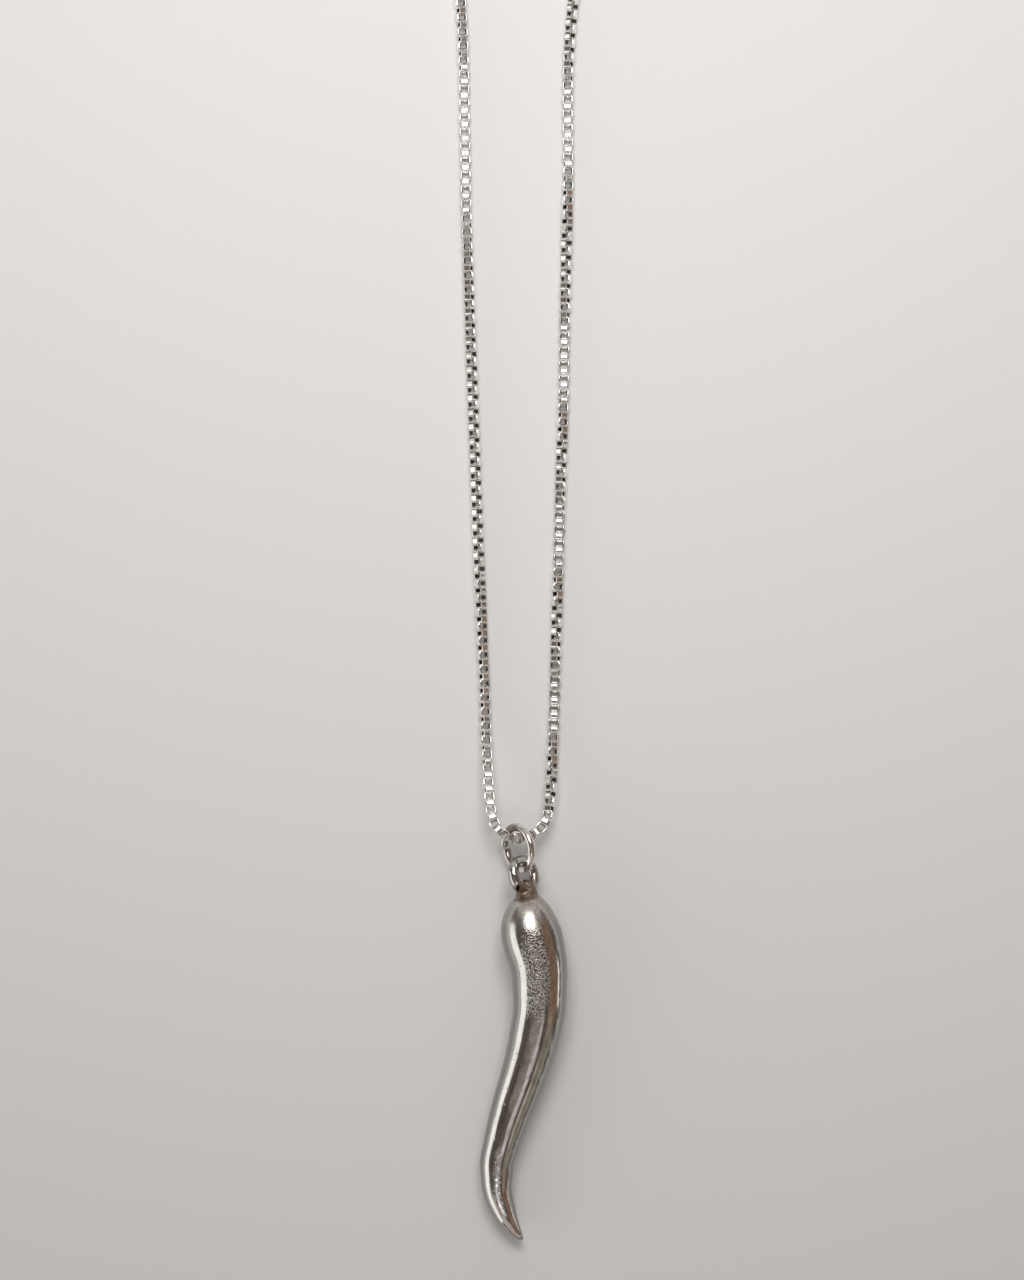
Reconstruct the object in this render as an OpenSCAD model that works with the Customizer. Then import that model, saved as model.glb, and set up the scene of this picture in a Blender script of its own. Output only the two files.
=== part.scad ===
// Cornicello: a cast silver horn pendant on a box chain, lying on a surface.
// Millimetres. The surface is z = 0, +Z is up, and the horn points along -Y.
// X runs across the two strands, and the whole necklace is centred on X and Y.

/* [Horn] */
// Length of the horn, from the top of its head to its tip
horn_len = 43.4; // [32:0.1:60]
// Diameter of the head where it is widest
head_d = 7.65; // [5.5:0.05:11]
// Length of the domed end above the widest place
dome_len = 5.75; // [3.5:0.05:9]

/* [Eye of the horn] */
// Outer diameter of the soldered eye
eye_od = 5.2; // [4.2:0.05:8]
// Thickness of the eye's wire
eye_wire = 1.1; // [0.6:0.05:1.6]
// Tilt of the eye out of the surface, left side up
eye_tilt = 50; // [30:1:70]
// Lean of the eye's top towards the left
eye_roll = 14; // [0:1:25]
// Diameter of the solder collar where it meets the head
collar_d = 3.1; // [2:0.05:4.5]
// Diameter of the solder collar at its upper end
collar_top_d = 1.7; // [1:0.05:3]
// Height of the solder collar above the head
collar_h = 0.7; // [0.3:0.05:1.5]

/* [Jump ring] */
// Outer diameter of the open jump ring
ring_od = 6.3; // [5:0.05:9]
// Thickness of the jump ring's wire
ring_wire = 1.0; // [0.6:0.05:1.4]
// Width of the open cut between the wire's two ends
ring_cut = 0.3; // [0.1:0.05:1]
// Tilt of the jump ring out of the surface, right side up
ring_tilt = 53; // [30:1:70]
// Lean of the jump ring's top towards the left
ring_roll = 9; // [0:1:25]

/* [Chain] */
// Width across the square chain
chain_w = 1.35; // [0.8:0.05:2]
// Chamfer along the chain's four corners
chain_chamfer = 0.2; // [0.05:0.01:0.35]

/* [Clasp] */
// Length of the clasp's long loop
clasp_len = 7; // [5:0.1:12]
// Width of the clasp's long loop
clasp_w = 4.2; // [3.4:0.1:7]
// Thickness of the long loop's stock
clasp_stock = 1.3; // [0.7:0.05:1.5]
// Outer diameter of the clasp's tail eyelet
tail_od = 3.2; // [2.8:0.05:5]
// Thickness of the tail eyelet's wire
tail_wire = 0.9; // [0.5:0.05:1]
// Diameter of the thumb knob on the clasp's side
knob_d = 1.2; // [0.6:0.05:2]
// Outer diameter of the two end rings
end_ring_od = 3.8; // [3.6:0.05:5.5]
// Thickness of the end rings' wire
end_ring_wire = 0.7; // [0.4:0.05:0.8]
// Tilt of the end rings out of the surface
end_ring_tilt = 60; // [40:1:80]

/* [Fits] */
// Play between the chain and the jump ring's inside
chain_play = 0.25; // [0.15:0.05:0.8]
// Play between the jump ring and the eye's inside
eye_play = 0.25; // [0.1:0.05:0.6]
// Depth of the eye's wire in the top of the head
eye_sink = 0.35; // [0.2:0.05:0.8]
// Play between an end ring and the clasp's loops
clasp_play = 0.2; // [0.1:0.05:0.4]
// Gap between the chain's ends and the end rings
end_gap = 0.3; // [0.1:0.05:0.6]

/* [Hidden] */
$fn = 48;

silver_colour = [0.74, 0.72, 0.69];
chain_colour = [0.80, 0.78, 0.74];

// The chain's route, from the clasp down the left strand, through the jump ring
// and back up the right strand. A row is [x, y, rise]: x and y from the low point
// of the bend, and rise as a share of the jump ring's height, 0 on the surface.
chain_points = [
    [-13.5, 218, 0], [-23.5, 211.5, 0], [-31.5, 199, 0], [-33.5, 182, 0],
    [-29, 164, 0], [-21, 148, 0], [-13, 131.5, 0], [-8.2, 115, 0],
    [-7.4, 104, 0], [-6.7, 79, 0], [-5.85, 54, 0], [-4.9, 29, 0],
    [-4.4, 16.6, 0.08], [-4.1, 9, 0.5], [-3.8, 4.7, 0.9], [-3.5, 2.6, 1.12],
    [-2.8, 1.05, 1.25], [-1.9, 0.25, 1.28], [-1.0, -0.1, 1.18], [0, -0.15, 1.04],
    [1.0, 0.1, 0.91], [1.9, 0.55, 0.8], [2.8, 1.3, 0.7], [3.45, 2.6, 0.6],
    [3.75, 4.5, 0.47], [4.0, 9, 0.17], [4.3, 16.6, 0],
    [4.65, 29, 0], [5.4, 54, 0], [5.95, 79, 0], [6.6, 104, 0],
    [8.2, 115, 0], [13, 131.5, 0], [21, 148, 0], [29, 164, 0],
    [33.5, 182, 0], [31.5, 199, 0], [23.5, 211.5, 0], [13.5, 218, 0],
];
// Row of chain_points at the low point of the bend
bend_row = 19;
// Height of the clasp's middle line above the bend, along Y
clasp_y = 219.6;
// Rings of the chain's tube for each step of its route
chain_steps = 2;

// The horn's body below its widest place. A row is [along, side, girth]: along as
// a share of the body's length, side as a share of head_d, girth as a share of
// the head's girth. Rows with along below 0 are the dome, as a share of dome_len.
horn_rows = [
    [-1.00, 0.000, 0.00], [-0.60, 0.000, 0.80], [-0.25, 0.020, 0.97],
    [0.00, 0.062, 1.00], [0.09, 0.165, 0.93], [0.20, 0.180, 0.875],
    [0.33, 0.084, 0.825], [0.45, -0.084, 0.748], [0.56, -0.27, 0.682],
    [0.68, -0.447, 0.592], [0.76, -0.525, 0.55], [0.84, -0.51, 0.475],
    [0.92, -0.377, 0.36], [0.97, -0.235, 0.215], [0.99, -0.155, 0.13],
    [1.00, -0.105, 0.05],
];
// Middle of the horn's dome, to the right of the bend
horn_x = 1.1;
// Sides of the horn's skin, and its sections along the dome, the body and the tip
horn_sides = 28;
dome_sections = 12;
body_sections = 48;
tip_sections = 6;
// Share of the body's length that the fine sections of the tip take
tip_share = 0.08;
// Share of the body's length over which it turns from level to its fall
fall_start = 0.06;

head_r = head_d / 2;
eye_r = (eye_od - eye_wire) / 2;
ring_r = (ring_od - ring_wire) / 2;
end_ring_r = (end_ring_od - end_ring_wire) / 2;
body_len = horn_len - dome_len;

// Heights above the surface: the eye sits a little under the head's middle, and
// the jump ring a little under the eye
eye_drop = 0.23;
ring_drop = 0.2;
eye_z = head_r - eye_drop;
ring_z = eye_z - ring_drop;
end_ring_z = end_ring_r * sin(end_ring_tilt) + end_ring_wire / 2;

// Places across X of the jump ring's and the eye's middles
ring_x = -0.2;
eye_x = 0.45;
// Place of the open cut round the jump ring, in degrees from its right arm
ring_cut_at = 174;

// Places along Y, each from the piece that carries it
bend_y = chain_points[bend_row][1];
ring_y = bend_y - (ring_r - ring_wire / 2 - chain_w / 2 - chain_play);
eye_y = ring_y - (ring_r - ring_wire / 2 + eye_r - eye_wire / 2 - eye_play);
horn_top = eye_y - eye_od / 2 + eye_sink;

// Places along X of the clasp's parts and of the end rings
clasp_right = clasp_len / 2 + (tail_od - tail_wire) / 2;
loop_x = clasp_right - clasp_len / 2;
tail_x = loop_x - clasp_len / 2 - tail_od / 2 + tail_wire;
tail_wall_x = tail_x - tail_od / 2 + tail_wire / 2;
loop_wall_x = clasp_right - clasp_stock / 2;
end_ring_inner = end_ring_r - end_ring_wire / 2;
end_ring_left_x = tail_wall_x - (end_ring_inner - tail_wire / 2 - clasp_play);
end_ring_right_x = loop_wall_x + (end_ring_inner - clasp_stock / 2 - clasp_play);
chain_reach = end_ring_od / 2 + end_gap;

// The necklace's middle along Y, taken as its origin
low_y = horn_top - horn_len;
high_y = clasp_y + clasp_w / 2;
centre_y = (low_y + high_y) / 2;

function unit(v) = v / norm(v);
function plan_normal(t) = unit([-t[1], t[0], 0]);

// Point at share f of the way from b to c, on a smooth curve through a, b, c and d
function slope_at(a, b, c) =
    let (before = norm(b - a), after = norm(c - b))
    ((b - a) / before * after + (c - b) / after * before) / (before + after);
function curve_point(a, b, c, d, f) =
    let (
        span = norm(c - b),
        start = slope_at(a, b, c) * span,
        finish = slope_at(b, c, d) * span
    )
    b * (1 + 2 * f) * pow(1 - f, 2) + c * (3 - 2 * f) * f * f
        + start * f * pow(1 - f, 2) - finish * f * f * (1 - f);

// Length along the horn from its widest part to a place on it
function run(at) = at * (at < 0 ? dome_len : body_len);
// Slope of one column of the horn's rows, level where the column turns back
function row_slope(rows, i, col) =
    let (
        low = max(i - 1, 0),
        high = min(i + 1, len(rows) - 1),
        before = rows[i][col] - rows[low][col],
        after = rows[high][col] - rows[i][col]
    )
    before * after < 0 ? 0 : (before + after) / (run(rows[high][0]) - run(rows[low][0]));
function row_index(rows, at) =
    min(len([for (row = rows) if (row[0] <= at) 1]), len(rows) - 1) - 1;
// Value of one column of the horn's rows at a place along it
function row_value(rows, at, col) =
    let (
        i = row_index(rows, at),
        span = run(rows[i + 1][0]) - run(rows[i][0]),
        f = (at - rows[i][0]) / (rows[i + 1][0] - rows[i][0])
    )
    rows[i][col] * (1 + 2 * f) * pow(1 - f, 2)
        + rows[i + 1][col] * (3 - 2 * f) * f * f
        + row_slope(rows, i, col) * span * f * pow(1 - f, 2)
        - row_slope(rows, i + 1, col) * span * f * f * (1 - f);

function horn_girth(at) = at < 0 ? sqrt(1 - at * at) : row_value(horn_rows, at, 2);
// Fall of the middle line towards the tip, level at the widest part, so that the
// underside rests flat
function fall_shape(at) = norm([max(at, 0), fall_start]) - fall_start;
horn_fall = min([for (at = [0.02:0.01:1]) (1 - horn_girth(at)) / fall_shape(at)]);
function horn_middle(at) = [
    horn_x + row_value(horn_rows, at, 1) * head_d,
    horn_top - dome_len - run(at),
    head_r * (1 - horn_fall * fall_shape(at))
];
horn_places = concat(
    [for (i = [1:dome_sections]) -cos(90 * i / (dome_sections + 1))],
    [for (i = [0:body_sections]) (1 - tip_share) * i / body_sections],
    [for (i = [1:tip_sections]) 1 - tip_share * pow(1 - i / tip_sections, 1.5)]
);

// Closed skin through rings of points that all have the same number of points
module skin(rings) {
    sides = len(rings[0]);
    last = len(rings) - 1;
    corners = [for (ring = rings) each ring];
    walls = [
        for (i = [0:last - 1]) for (k = [0:sides - 1])
            let (next = (k + 1) % sides)
            [i * sides + k, i * sides + next, (i + 1) * sides + next, (i + 1) * sides + k]
    ];
    near_end = [for (k = [sides - 1:-1:0]) k];
    far_end = [for (k = [0:sides - 1]) last * sides + k];
    polyhedron(points = corners, faces = concat(walls, [near_end, far_end]), convexity = 8);
}

// Ring of points round a middle point, square to the direction t
function round_ring(middle, t, r, sides) =
    let (n = plan_normal(t), b = cross(unit(t), n))
    [for (k = [0:sides - 1])
        middle + r * (cos(360 * k / sides) * n - sin(360 * k / sides) * b)];

module horn_body() {
    middles = [for (at = horn_places) horn_middle(at)];
    last = len(middles) - 1;
    skin([
        for (i = [0:last])
            let (t = middles[min(i + 1, last)] - middles[max(i - 1, 0)])
            round_ring(middles[i], t, head_r * horn_girth(horn_places[i]), horn_sides)
    ]);
}

// Ring of round wire standing at its own tilt and lean
module wire_ring(r, wire, tilt, roll, cut_angle = 0, cut_at = 0) {
    rotate([0, 0, roll])
        rotate([0, tilt, 0])
            rotate([0, 0, cut_at + cut_angle / 2])
                rotate_extrude(angle = 360 - cut_angle)
                    translate([r, 0])
                        circle(d = wire);
}

module horn() {
    color(silver_colour)
        translate([0, -centre_y, 0])
            union() {
                horn_body();
                translate([eye_x, eye_y, eye_z])
                    wire_ring(eye_r, eye_wire, eye_tilt, eye_roll);
                translate([horn_x, horn_top - collar_h, head_r])
                    rotate([-90, 0, 0])
                        cylinder(h = 2 * collar_h, d1 = collar_d, d2 = collar_top_d);
            }
}

module jump_ring() {
    cut_angle = ring_cut / ring_r * 180 / PI;
    color(silver_colour)
        translate([ring_x, ring_y - centre_y, ring_z])
            wire_ring(ring_r, ring_wire, -ring_tilt, ring_roll, cut_angle, ring_cut_at);
}

// Middle line of the chain, with its ends short of the two end rings. Its first and
// last points lie inside the end rings and only give the ends their direction.
function risen(p) = [p[0], p[1], chain_w / 2 + p[2] * (ring_z - chain_w / 2)];
chain_line = concat(
    [[end_ring_left_x, clasp_y, end_ring_z]],
    [[end_ring_left_x - chain_reach, clasp_y, end_ring_z]],
    [for (p = chain_points) risen(p)],
    [[end_ring_right_x + chain_reach, clasp_y, end_ring_z]],
    [[end_ring_right_x, clasp_y, end_ring_z]]
);

module chain() {
    half = chain_w / 2;
    flat = half - chain_chamfer;
    profile = [
        [half, flat], [flat, half], [-flat, half], [-half, flat],
        [-half, -flat], [-flat, -half], [flat, -half], [half, -flat]
    ];
    last = len(chain_line) - 2;
    curve = concat(
        [for (i = [1:last - 1]) for (k = [0:chain_steps - 1])
            curve_point(chain_line[i - 1], chain_line[i], chain_line[i + 1],
                chain_line[i + 2], k / chain_steps)],
        [chain_line[last]]
    );
    middles = [for (p = curve) [p[0], p[1], max(p[2], half)]];
    end = len(middles) - 1;
    color(chain_colour)
        translate([0, -centre_y, 0])
            skin([
                for (i = [0:end])
                    let (
                        t = unit(middles[min(i + 1, end)] - middles[max(i - 1, 0)]),
                        n = plan_normal(t),
                        b = cross(t, n)
                    )
                    [for (corner = profile) middles[i] + corner[0] * n - corner[1] * b]
            ]);
}

module clasp() {
    bend_r = (clasp_w - clasp_stock) / 2;
    straight = clasp_len - clasp_w;
    color(silver_colour)
        translate([0, clasp_y - centre_y, end_ring_z])
            union() {
                for (side = [-1, 1]) {
                    translate([loop_x + side * straight / 2, 0, 0])
                        rotate([0, 0, side * 90 + 180])
                            rotate_extrude(angle = 180)
                                translate([bend_r, 0])
                                    circle(d = clasp_stock);
                    translate([loop_x - straight / 2, side * bend_r, 0])
                        rotate([0, 90, 0])
                            cylinder(h = straight, d = clasp_stock);
                }
                translate([tail_x, 0, 0])
                    rotate_extrude()
                        translate([(tail_od - tail_wire) / 2, 0])
                            circle(d = tail_wire);
                translate([loop_x, -clasp_w / 2, 0])
                    sphere(d = knob_d);
            }
}

module end_ring(x) {
    color(silver_colour)
        translate([x, clasp_y - centre_y, end_ring_z])
            rotate([end_ring_tilt, 0, 0])
                rotate_extrude()
                    translate([end_ring_r, 0])
                        circle(d = end_ring_wire);
}

module end_ring_left() {
    end_ring(end_ring_left_x);
}

module end_ring_right() {
    end_ring(end_ring_right_x);
}

horn();
jump_ring();
chain();
clasp();
end_ring_left();
end_ring_right();
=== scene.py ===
"""Cornicello: a cast silver horn on a box chain, lying under soft studio light."""
import math

import bmesh
import bpy
import numpy
from mathutils import Matrix, Vector


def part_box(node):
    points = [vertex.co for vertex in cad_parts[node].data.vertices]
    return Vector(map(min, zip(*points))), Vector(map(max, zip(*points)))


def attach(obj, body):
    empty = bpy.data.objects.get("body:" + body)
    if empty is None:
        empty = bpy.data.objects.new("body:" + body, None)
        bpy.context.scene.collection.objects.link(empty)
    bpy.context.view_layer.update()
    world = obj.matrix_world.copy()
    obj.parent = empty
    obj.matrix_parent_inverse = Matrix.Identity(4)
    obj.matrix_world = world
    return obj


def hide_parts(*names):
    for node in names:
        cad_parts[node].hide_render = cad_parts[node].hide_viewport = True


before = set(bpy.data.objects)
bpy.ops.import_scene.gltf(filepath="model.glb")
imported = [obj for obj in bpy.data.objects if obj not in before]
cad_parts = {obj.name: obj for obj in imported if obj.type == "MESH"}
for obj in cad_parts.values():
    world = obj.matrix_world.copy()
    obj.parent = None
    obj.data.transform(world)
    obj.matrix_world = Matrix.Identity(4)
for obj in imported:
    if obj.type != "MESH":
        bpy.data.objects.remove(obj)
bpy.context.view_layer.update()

# Everything below is worked out in millimetres and made in metres
MM = 0.001

# Sizes of the pieces, as in the part
HORN_LEN = 43.4
HEAD_D = 7.65
DOME_LEN = 5.75
EYE_OD = 5.2
EYE_WIRE = 1.1
EYE_TILT = 50
EYE_ROLL = 14
EYE_SINK = 0.35
RING_OD = 6.3
RING_WIRE = 1.0
RING_CUT = 0.3
RING_TILT = -53
RING_ROLL = 9
RING_CUT_AT = 174
CHAIN_W = 1.35
CHAIN_PLAY = 0.25
EYE_PLAY = 0.25
END_RING_OD = 3.8
END_RING_WIRE = 0.7
END_RING_TILT = 60
HORN_X = 1.1
EYE_X = 0.45
EYE_ABOVE_RING = 0.2
BEND_Y = -0.15

# A box link: its wall, the width of its strip, the radius of its corners, how far its
# edges slope, how much its sides look rounded towards the corners, and how many there are
LINK_WALL = 0.22
LINK_STRIP = 0.86
LINK_CORNER = 0.33
LINK_EDGE = 0.09
LINK_BOW = 0.030
LINK_COUNT = 536
# Degrees by which a link may lie turned out of its neighbours' order, either way
LINK_LOOSE = 1.2

# The horn from the dome's top at -1 by its widest part at 0 to the tip at 1: how far its
# middle line lies aside there, as a share of HEAD_D, and its girth, as a share of the head's
HORN_ROWS = [
    (-1.00, 0.000, 0.00), (-0.60, 0.000, 0.80), (-0.25, 0.020, 0.97),
    (0.00, 0.062, 1.00), (0.09, 0.165, 0.93), (0.20, 0.180, 0.875),
    (0.33, 0.084, 0.825), (0.45, -0.084, 0.748), (0.56, -0.27, 0.682),
    (0.68, -0.447, 0.592), (0.76, -0.525, 0.55), (0.84, -0.51, 0.475),
    (0.92, -0.377, 0.36), (0.97, -0.235, 0.215), (0.99, -0.155, 0.13),
    (1.00, -0.105, 0.05),
]

# Where the casting's skin is left below the dome, and at the front of the tip: places
# from the horn's top, how far they reach, and the share of that which is even
SKIN_PLACE = (1.75, -9.6, 6.4)
SKIN_REACH = (3.6, 7.6, 3.4)
FRONT_PLACE = (-2.4, -35.9, 3.0)
FRONT_REACH = (3.6, 4.7, 3.6)
SKIN_CORE = 0.45

# The chain's middle line from the clasp round to the clasp, in the plan of the part:
# x, y, and rise as a share of the jump ring's height
CHAIN_ROUTE = [
    (-13.5, 218, 0), (-23.5, 211.5, 0), (-31.5, 199, 0), (-33.5, 182, 0),
    (-29, 164, 0), (-21, 148, 0), (-13, 131.5, 0), (-8.2, 115, 0),
    (-7.4, 104, 0), (-6.7, 79, 0), (-5.85, 54, 0), (-4.9, 29, 0),
    (-4.4, 16.6, 0.08), (-4.1, 9, 0.5), (-3.8, 4.7, 0.9), (-3.5, 2.6, 1.12),
    (-2.8, 1.05, 1.25), (-1.9, 0.25, 1.28), (-1.0, -0.1, 1.18), (0, -0.15, 1.04),
    (1.0, 0.1, 0.91), (1.9, 0.55, 0.8), (2.8, 1.3, 0.7), (3.45, 2.6, 0.6),
    (3.75, 4.5, 0.47), (4.0, 9, 0.17), (4.3, 16.6, 0), (4.65, 29, 0),
    (5.4, 54, 0), (5.95, 79, 0), (6.6, 104, 0), (8.2, 115, 0),
    (13, 131.5, 0), (21, 148, 0), (29, 164, 0), (33.5, 182, 0),
    (31.5, 199, 0), (23.5, 211.5, 0), (13.5, 218, 0),
]

# How far the links are turned about the chain: millimetres from the bend, degrees
CHAIN_TWISTS = [
    (-240, -60), (-180, -52), (-130, -36), (-107, -20), (-99, -12), (-94, 0),
    (-86, 0), (-81, 8), (-74, 18), (-65, 28), (-60.5, 32), (-49.5, 32),
    (-39, 39), (-32, 50), (-24, 63), (-17.5, 72), (-10, 81), (0, 87),
    (3, 84), (5, 75), (8.4, 55), (11.2, 38), (14.8, 14), (16.6, 5),
    (18.4, 0), (20.2, -2), (25.6, -20), (31, -43), (33.7, -62), (36.8, -85),
    (40, -90), (42.7, -96), (51, -128), (53.7, -150), (56.8, -168), (59.3, -177),
    (64.3, -184), (71.8, -208), (78.5, -223), (81.2, -237), (86.2, -262), (90.6, -270),
    (95.6, -277), (103.1, -304), (106.8, -312), (150, -320), (240, -330),
]


def middle(node):
    """Middle of a piece's box in the frame, in millimetres."""
    low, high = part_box(node)
    return (low + high) / 2 / MM


HEAD_R = HEAD_D / 2
EYE_R = (EYE_OD - EYE_WIRE) / 2
RING_R = (RING_OD - RING_WIRE) / 2
END_RING_R = (END_RING_OD - END_RING_WIRE) / 2
RING_MID = middle("jump_ring")
RING_HOLE = RING_R - RING_WIRE / 2
EYE_MID = Vector((
    EYE_X,
    RING_MID.y - RING_HOLE - EYE_R + EYE_WIRE / 2 + EYE_PLAY,
    RING_MID.z + EYE_ABOVE_RING,
))
HORN_TOP = EYE_MID.y - EYE_OD / 2 + EYE_SINK
BODY_LEN = HORN_LEN - DOME_LEN
# Share of the body over which its middle line turns from level to its fall
FALL_START = 0.06
ROUTE_Y = RING_MID.y + RING_HOLE - CHAIN_W / 2 - CHAIN_PLAY - BEND_Y
SKIN_ZONE = (Vector(SKIN_PLACE) + Vector((0, HORN_TOP, 0)), SKIN_REACH, SKIN_CORE)
FRONT_ZONE = (Vector(FRONT_PLACE) + Vector((0, HORN_TOP, 0)), FRONT_REACH, SKIN_CORE)
END_RINGS = {side: middle("end_ring_" + side) for side in ("left", "right")}
# How far the middle line of the chain starts from the middle of its end ring
CHAIN_END = 2.2
# Middle of the lens-shaped notch on the eye's lower left, from the eye's middle
EYE_NOTCH = Vector((-0.74, -1.53, 1.90))


class Value:
    """A number in a node tree. Sums and products of it add their Math nodes."""

    def __init__(self, tree, socket):
        self.tree = tree
        self.socket = socket

    def math(self, operation, *operands):
        return self.tree.node("ShaderNodeMath", {"operation": operation}, operands)["Value"]

    def __add__(self, other):
        return self.math("ADD", self, other)

    def __radd__(self, other):
        return self.math("ADD", other, self)

    def __sub__(self, other):
        return self.math("SUBTRACT", self, other)

    def __rsub__(self, other):
        return self.math("SUBTRACT", other, self)

    def __mul__(self, other):
        return self.math("MULTIPLY", self, other)

    def __rmul__(self, other):
        return self.math("MULTIPLY", other, self)

    def __abs__(self):
        return self.math("ABSOLUTE", self)

    def __lt__(self, other):
        return self.math("LESS_THAN", self, other)


class Made:
    """A node that was added, whose outputs are taken by name."""

    def __init__(self, tree, node):
        self.tree = tree
        self.made = node

    def __getitem__(self, name):
        return Value(self.tree, named(self.made.outputs, name))


def named(sockets, name):
    """The first socket of that name that the node's settings leave in use."""
    return next(socket for socket in sockets if socket.name == name and socket.enabled)


class Tree:
    """A node tree that is written as expressions."""

    def __init__(self, nodes):
        self.nodes = nodes

    def node(self, kind, settings=None, inputs=()):
        """Adds a node: its settings first, then a value or a link for each input."""
        made = self.nodes.nodes.new(kind)
        for name, value in (settings or {}).items():
            setattr(made, name, value)
        if isinstance(inputs, dict):
            pairs = [(named(made.inputs, name), value) for name, value in inputs.items()]
        else:
            pairs = zip([socket for socket in made.inputs if socket.enabled], inputs)
        for socket, value in pairs:
            if isinstance(value, Value):
                self.nodes.links.new(value.socket, socket)
            else:
                socket.default_value = value
        return Made(self, made)

    def vector(self, operation, *operands):
        return self.node("ShaderNodeVectorMath", {"operation": operation}, operands)["Vector"]

    def length(self, vector):
        return self.node("ShaderNodeVectorMath", {"operation": "LENGTH"}, (vector,))["Value"]

    def smooth(self, value, start, end):
        """0 before start and 1 after end, turning smoothly between them."""
        settings = {"interpolation_type": "SMOOTHSTEP"}
        inputs = {"Value": value, "From Min": start, "From Max": end}
        return self.node("ShaderNodeMapRange", settings, inputs)["Result"]

    def near(self, position, centre, reach, core=0.35):
        """1 in the core of an ellipsoid and 0 outside it. Centre and reach are in millimetres."""
        offset = self.vector("SUBTRACT", position, [v * MM for v in centre])
        share = self.length(self.vector("DIVIDE", offset, [v * MM for v in reach]))
        return 1 - self.smooth(share, core, 1.0)

    def noise(self, position, size, detail=2.0, rough=0.5):
        """Noise from 0 to 1 whose lumps are about that many millimetres across."""
        inputs = {
            "Vector": position,
            "Scale": 1 / (size * MM),
            "Detail": detail,
            "Roughness": rough,
        }
        return self.node("ShaderNodeTexNoise", {}, inputs)["Fac"]

    def pits(self, position, size, spread, share):
        """1 at the middle of a pit and 0 around it. A share of the cells, each of that size
        in millimetres, holds a pit, and its radius is the spread times the cell."""
        inputs = {"Vector": position, "Scale": 1 / (size * MM)}
        cells = self.node("ShaderNodeTexVoronoi", {}, inputs)
        split = self.separate(cells["Color"])
        dip = 1 - self.smooth(cells["Distance"], 0.0, split["Green"] * spread + 0.4 * spread)
        return dip * (split["Red"] < share)


class Shade(Tree):
    """The nodes of a material."""

    def __init__(self, material):
        super().__init__(material.node_tree)

    def separate(self, colour):
        return self.node("ShaderNodeSeparateColor", {}, (colour,))

    def mix(self, share, first, second):
        inputs = {"Factor": share, "A": first, "B": second}
        return self.node("ShaderNodeMix", {"data_type": "RGBA"}, inputs)["Result"]


class Shape(Tree):
    """The nodes of a modifier that makes or changes a mesh."""

    def __init__(self, name, **sizes):
        super().__init__(bpy.data.node_groups.new(name, "GeometryNodeTree"))
        face = self.nodes.interface
        face.new_socket("Geometry", in_out="INPUT", socket_type="NodeSocketGeometry")
        face.new_socket("Geometry", in_out="OUTPUT", socket_type="NodeSocketGeometry")
        for label, (kind, value) in sizes.items():
            socket = face.new_socket(label, in_out="INPUT", socket_type="NodeSocket" + kind)
            if value is not None:
                socket.default_value = value
        self.given = self.node("NodeGroupInput")

    def separate(self, colour):
        return self.node("FunctionNodeSeparateColor", {}, (colour,))

    def stored(self, name):
        settings = {"data_type": "FLOAT"}
        return self.node("GeometryNodeInputNamedAttribute", settings, (name,))["Attribute"]

    def store(self, geometry, name, value, domain="POINT"):
        inputs = {"Geometry": geometry, "Name": name, "Value": value}
        settings = {"data_type": "FLOAT", "domain": domain}
        return self.node("GeometryNodeStoreNamedAttribute", settings, inputs)["Geometry"]

    def finish(self, geometry):
        """Realizes the instances, sets the material and ends the tree."""
        real = self.node("GeometryNodeRealizeInstances", {}, {"Geometry": geometry})["Geometry"]
        inputs = {"Geometry": real, "Material": self.given["Material"]}
        dressed = self.node("GeometryNodeSetMaterial", {}, inputs)["Geometry"]
        self.node("NodeGroupOutput", {}, (dressed,))
        return self.nodes


def plain_mesh(piece, name):
    """Replaces an object and its modifiers by one plain mesh object of that name."""
    graph = bpy.context.evaluated_depsgraph_get()
    mesh = bpy.data.meshes.new_from_object(piece.evaluated_get(graph))
    made = linked(name, mesh)
    bpy.data.objects.remove(piece)
    return made


def linked(name, mesh):
    made = bpy.data.objects.new(name, mesh)
    mesh.name = name
    bpy.context.scene.collection.objects.link(made)
    return made


def shaped(piece, tree, name, **values):
    """Runs a tree on an object and returns the result as a plain mesh object."""
    modifier = piece.modifiers.new("Shape", "NODES")
    modifier.node_group = tree
    given = [item for item in tree.interface.items_tree if item.in_out == "INPUT"]
    keys = {item.name: item.identifier for item in given}
    for label, value in values.items():
        modifier[keys[label]] = value
    return plain_mesh(piece, name)


def line_object(name, points, closed=False, **columns):
    """A line of points in millimetres, with a named number at each point."""
    mesh = bpy.data.meshes.new(name)
    count = len(points)
    edges = [(i, (i + 1) % count) for i in range(count if closed else count - 1)]
    mesh.from_pydata([Vector(point) * MM for point in points], edges, [])
    for label, numbers in columns.items():
        mesh.attributes.new(label, "FLOAT", "POINT").data.foreach_set("value", numbers)
    return linked(name, mesh)


def round_bar_tree():
    """Round stock along a line, as thick at each point as its girth says."""
    tree = Shape("Round stock along a line", Sides=("Int", 32), Material=("Material", None))
    curve = tree.node("GeometryNodeMeshToCurve", {}, {"Mesh": tree.given["Geometry"]})["Curve"]
    sizes = {"Resolution": tree.given["Sides"], "Radius": 1.0}
    profile = tree.node("GeometryNodeCurvePrimitiveCircle", {}, sizes)
    inputs = {
        "Curve": curve,
        "Profile Curve": profile["Curve"],
        "Scale": tree.stored("girth"),
        "Fill Caps": True,
    }
    skin = tree.node("GeometryNodeCurveToMesh", {}, inputs)["Mesh"]
    smooth = tree.node("GeometryNodeSetShadeSmooth", {}, {"Geometry": skin})["Geometry"]
    return tree.finish(smooth)


ROUND_BAR = round_bar_tree()


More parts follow.
